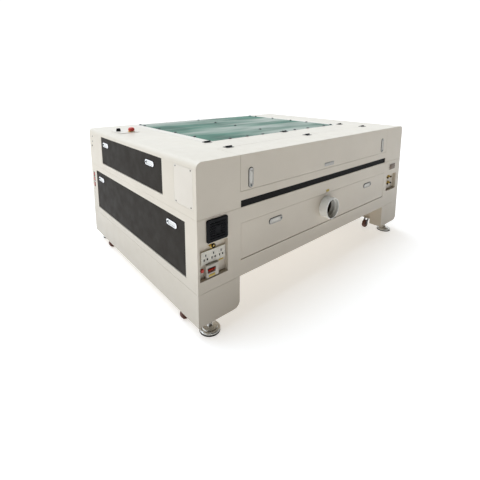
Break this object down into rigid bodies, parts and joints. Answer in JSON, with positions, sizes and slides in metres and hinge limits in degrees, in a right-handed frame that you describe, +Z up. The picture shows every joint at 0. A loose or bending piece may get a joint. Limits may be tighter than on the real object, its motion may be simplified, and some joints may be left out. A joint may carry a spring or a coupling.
{
  "type": "laser cutting machine",
  "caption": "Large flatbed gantry laser cutting machine with hinged tinted lid, rear tube cover, service doors, duct collar, levelling feet and casters.",
  "frame": {"origin": "on the floor under the middle of the whole machine, levelling feet and duct collar included", "axes": "+X to the operator's right along the machine's width, +Y towards the rear with the duct collar, +Z up"},
  "size_m": [2.507, 1.9148, 1.142],
  "materials": {
    "cabinet_paint": "satin",
    "white_paint": "satin",
    "dark_paint": "satin",
    "zinc_steel": "satin",
    "dark_steel": "satin",
    "black_steel": "satin",
    "black_rubber": "matte",
    "brown_tyre": "matte",
    "brush_black": "matte",
    "clear_glass": "gloss",
    "tinted_sheet": "gloss",
    "black_plastic": "matte",
    "ivory_plastic": "gloss",
    "grey_plastic": "matte",
    "yellow_plastic": "matte",
    "red_plastic": "gloss",
    "brass": "satin",
    "aluminium": "satin"
  },
  "bodies": {
    "frame": {"breaker": "grey_plastic", "control_panel": "white_paint", "cover_plates": "white_paint", "estop_collar": "yellow_plastic", "fan_guard": "black_plastic", "foot_pads": "black_rubber", "hinge_fixed_leaves": "black_steel", "hinge_pins": "zinc_steel", "laser_tube": "clear_glass", "left_stand": "cabinet_paint", "levelling_feet": "zinc_steel", "lower_body": "cabinet_paint", "pilot_lamps": "ivory_plastic", "pipe_fittings": "brass", "right_stand": "cabinet_paint", "rocker_bezels": "black_plastic", "slot_brushes": "brush_black", "socket_plate": "ivory_plastic", "tube_mounts": "black_plastic", "upper_body": "cabinet_paint", "work_table": "dark_steel", "y_rails": "zinc_steel"},
    "lid": {"lid_frame": "white_paint", "lid_glass": "tinted_sheet", "lid_hinge_leaves": "black_steel"},
    "rear_cover_body": {"rear_cover": "cabinet_paint", "rear_hinge_leaves": "black_steel"},
    "rear_door_body": {"rear_door": "cabinet_paint", "exhaust_collar": "cabinet_paint"},
    "right_upper_door_body": {"right_upper_door": "dark_paint"},
    "right_lower_door_body": {"right_lower_door": "dark_paint"},
    "left_lower_door_body": {"left_lower_door": "dark_paint"},
    "gantry": {"gantry_beam": "aluminium"},
    "head": {"laser_head": "aluminium"},
    "fan": {"fan_rotor": "black_plastic"},
    "estop": {"estop_button": "red_plastic"},
    "key": {"key_switch": "black_plastic"},
    "toggle": {"breaker_toggle": "red_plastic"},
    "reset": {"reset_button": "red_plastic"},
    "lever_right_upper_a_body": {"lever_right_upper_a": "zinc_steel"},
    "lever_right_upper_b_body": {"lever_right_upper_b": "zinc_steel"},
    "lever_right_lower_a_body": {"lever_right_lower_a": "zinc_steel"},
    "lever_right_lower_b_body": {"lever_right_lower_b": "zinc_steel"},
    "lever_left_lower_a_body": {"lever_left_lower_a": "zinc_steel"},
    "lever_left_lower_b_body": {"lever_left_lower_b": "zinc_steel"},
    "lever_rear_door_a_body": {"lever_rear_door_a": "zinc_steel"},
    "lever_rear_door_b_body": {"lever_rear_door_b": "zinc_steel"},
    "lever_rear_cover_a_body": {"lever_rear_cover_a": "zinc_steel"},
    "lever_rear_cover_b_body": {"lever_rear_cover_b": "zinc_steel"},
    "rocker_upper_body": {"rocker_upper": "red_plastic"},
    "rocker_middle_body": {"rocker_middle": "red_plastic"},
    "rocker_lower_body": {"rocker_lower": "red_plastic"},
    "swivel_right_back": {"caster_fork_right_back": "dark_steel"},
    "wheel_right_back": {"caster_wheel_right_back": "brown_tyre"},
    "swivel_right_front": {"caster_fork_right_front": "dark_steel"},
    "wheel_right_front": {"caster_wheel_right_front": "brown_tyre"},
    "swivel_left_back": {"caster_fork_left_back": "dark_steel"},
    "wheel_left_back": {"caster_wheel_left_back": "brown_tyre"},
    "swivel_left_front": {"caster_fork_left_front": "dark_steel"},
    "wheel_left_front": {"caster_wheel_left_front": "brown_tyre"}
  },
  "joints": [
    {"name": "lid_hinge", "type": "hinge", "parent": "frame", "child": "lid", "pos_m": [0, 0.3995, 1.106], "axis": [-1, 0, 0], "range_deg": [0, 70]},
    {"name": "rear_cover_hinge", "type": "hinge", "parent": "frame", "child": "rear_cover_body", "pos_m": [0, 0.6475, 1.106], "axis": [1, 0, 0], "range_deg": [0, 100]},
    {"name": "rear_door_hinge", "type": "hinge", "parent": "frame", "child": "rear_door_body", "pos_m": [0, 0.8815, 0.428], "axis": [-1, 0, 0], "range_deg": [0, 90]},
    {"name": "right_upper_door_hinge", "type": "hinge", "parent": "frame", "child": "right_upper_door_body", "pos_m": [1.242, -0.054, 0.828], "axis": [0, 1, 0], "range_deg": [0, 90]},
    {"name": "right_lower_door_hinge", "type": "hinge", "parent": "frame", "child": "right_lower_door_body", "pos_m": [1.242, -0.015, 0.375], "axis": [0, 1, 0], "range_deg": [0, 90]},
    {"name": "left_lower_door_hinge", "type": "hinge", "parent": "frame", "child": "left_lower_door_body", "pos_m": [-1.242, -0.015, 0.375], "axis": [0, -1, 0], "range_deg": [0, 90]},
    {"name": "lever_right_upper_a_turn", "type": "hinge", "parent": "right_upper_door_body", "child": "lever_right_upper_a_body", "pos_m": [1.2494, -0.4618, 0.998], "axis": [0, 0, 1], "range_deg": [0, 60]},
    {"name": "lever_right_upper_b_turn", "type": "hinge", "parent": "right_upper_door_body", "child": "lever_right_upper_b_body", "pos_m": [1.2494, 0.3682, 0.998], "axis": [0, 0, 1], "range_deg": [0, 60]},
    {"name": "lever_right_lower_a_turn", "type": "hinge", "parent": "right_lower_door_body", "child": "lever_right_lower_a_body", "pos_m": [1.2494, -0.6198, 0.662], "axis": [0, 0, 1], "range_deg": [0, 60]},
    {"name": "lever_right_lower_b_turn", "type": "hinge", "parent": "right_lower_door_body", "child": "lever_right_lower_b_body", "pos_m": [1.2494, 0.6432, 0.662], "axis": [0, 0, 1], "range_deg": [0, 60]},
    {"name": "lever_left_lower_a_turn", "type": "hinge", "parent": "left_lower_door_body", "child": "lever_left_lower_a_body", "pos_m": [-1.2494, 0.6432, 0.662], "axis": [0, 0, -1], "range_deg": [0, 60]},
    {"name": "lever_left_lower_b_turn", "type": "hinge", "parent": "left_lower_door_body", "child": "lever_left_lower_b_body", "pos_m": [-1.2494, -0.6198, 0.662], "axis": [0, 0, -1], "range_deg": [0, 60]},
    {"name": "lever_rear_door_a_turn", "type": "hinge", "parent": "rear_door_body", "child": "lever_rear_door_a_body", "pos_m": [0.6497, 0.8889, 0.604], "axis": [0, 0, -1], "range_deg": [0, 60]},
    {"name": "lever_rear_door_b_turn", "type": "hinge", "parent": "rear_door_body", "child": "lever_rear_door_b_body", "pos_m": [-0.5703, 0.8889, 0.604], "axis": [0, 0, -1], "range_deg": [0, 60]},
    {"name": "lever_rear_cover_a_turn", "type": "hinge", "parent": "rear_cover_body", "child": "lever_rear_cover_a_body", "pos_m": [0.845, 0.8899, 0.9857], "axis": [1, 0, 0], "range_deg": [0, 60]},
    {"name": "lever_rear_cover_b_turn", "type": "hinge", "parent": "rear_cover_body", "child": "lever_rear_cover_b_body", "pos_m": [-0.845, 0.8899, 0.9857], "axis": [1, 0, 0], "range_deg": [0, 60]},
    {"name": "gantry_travel", "type": "slide", "parent": "frame", "child": "gantry", "axis": [0, 1, 0], "range_m": [-1.05, 0.28]},
    {"name": "head_travel", "type": "slide", "parent": "gantry", "child": "head", "axis": [1, 0, 0], "range_m": [-0.75, 0.75]},
    {"name": "fan_spin", "type": "hinge", "parent": "frame", "child": "fan", "pos_m": [1.112, 0.8745, 0.685], "axis": [0, 1, 0], "continuous": true},
    {"name": "estop_press", "type": "slide", "parent": "frame", "child": "estop", "axis": [0, 0, -1], "range_m": [0, 0.005]},
    {"name": "key_turn", "type": "hinge", "parent": "frame", "child": "key", "pos_m": [1.113, -0.5525, 1.11], "axis": [0, 0, 1], "range_deg": [0, 60]},
    {"name": "breaker_throw", "type": "hinge", "parent": "frame", "child": "toggle", "pos_m": [1.1515, 0.8805, 0.44], "axis": [-1, 0, 0], "range_deg": [0, 60]},
    {"name": "reset_press", "type": "slide", "parent": "frame", "child": "reset", "axis": [0, -1, 0], "range_m": [0, 0.003]},
    {"name": "rocker_upper_tilt", "type": "hinge", "parent": "frame", "child": "rocker_upper_body", "pos_m": [1.248, -0.8605, 0.675], "axis": [0, 1, 0], "range_deg": [-8, 8]},
    {"name": "rocker_middle_tilt", "type": "hinge", "parent": "frame", "child": "rocker_middle_body", "pos_m": [1.248, -0.8605, 0.627], "axis": [0, 1, 0], "range_deg": [-8, 8]},
    {"name": "rocker_lower_tilt", "type": "hinge", "parent": "frame", "child": "rocker_lower_body", "pos_m": [1.248, -0.8605, 0.576], "axis": [0, 1, 0], "range_deg": [-8, 8]},
    {"name": "swivel_turn_right_back", "type": "hinge", "parent": "frame", "child": "swivel_right_back", "pos_m": [1.15, 0.6445, 0.104], "axis": [0, 0, 1], "continuous": true},
    {"name": "wheel_spin_right_back", "type": "hinge", "parent": "swivel_right_back", "child": "wheel_right_back", "pos_m": [1.19, 0.6445, 0.044], "axis": [0, 1, 0], "continuous": true},
    {"name": "swivel_turn_right_front", "type": "hinge", "parent": "frame", "child": "swivel_right_front", "pos_m": [1.15, -0.6415, 0.104], "axis": [0, 0, 1], "continuous": true},
    {"name": "wheel_spin_right_front", "type": "hinge", "parent": "swivel_right_front", "child": "wheel_right_front", "pos_m": [1.19, -0.6415, 0.044], "axis": [0, 1, 0], "continuous": true},
    {"name": "swivel_turn_left_back", "type": "hinge", "parent": "frame", "child": "swivel_left_back", "pos_m": [-1.062, 0.6745, 0.104], "axis": [0, 0, 1], "continuous": true},
    {"name": "wheel_spin_left_back", "type": "hinge", "parent": "swivel_left_back", "child": "wheel_left_back", "pos_m": [-1.022, 0.6745, 0.044], "axis": [0, 1, 0], "continuous": true},
    {"name": "swivel_turn_left_front", "type": "hinge", "parent": "frame", "child": "swivel_left_front", "pos_m": [-1.062, -0.6415, 0.104], "axis": [0, 0, 1], "continuous": true},
    {"name": "wheel_spin_left_front", "type": "hinge", "parent": "swivel_left_front", "child": "wheel_left_front", "pos_m": [-1.022, -0.6415, 0.044], "axis": [0, 1, 0], "continuous": true}
  ]
}
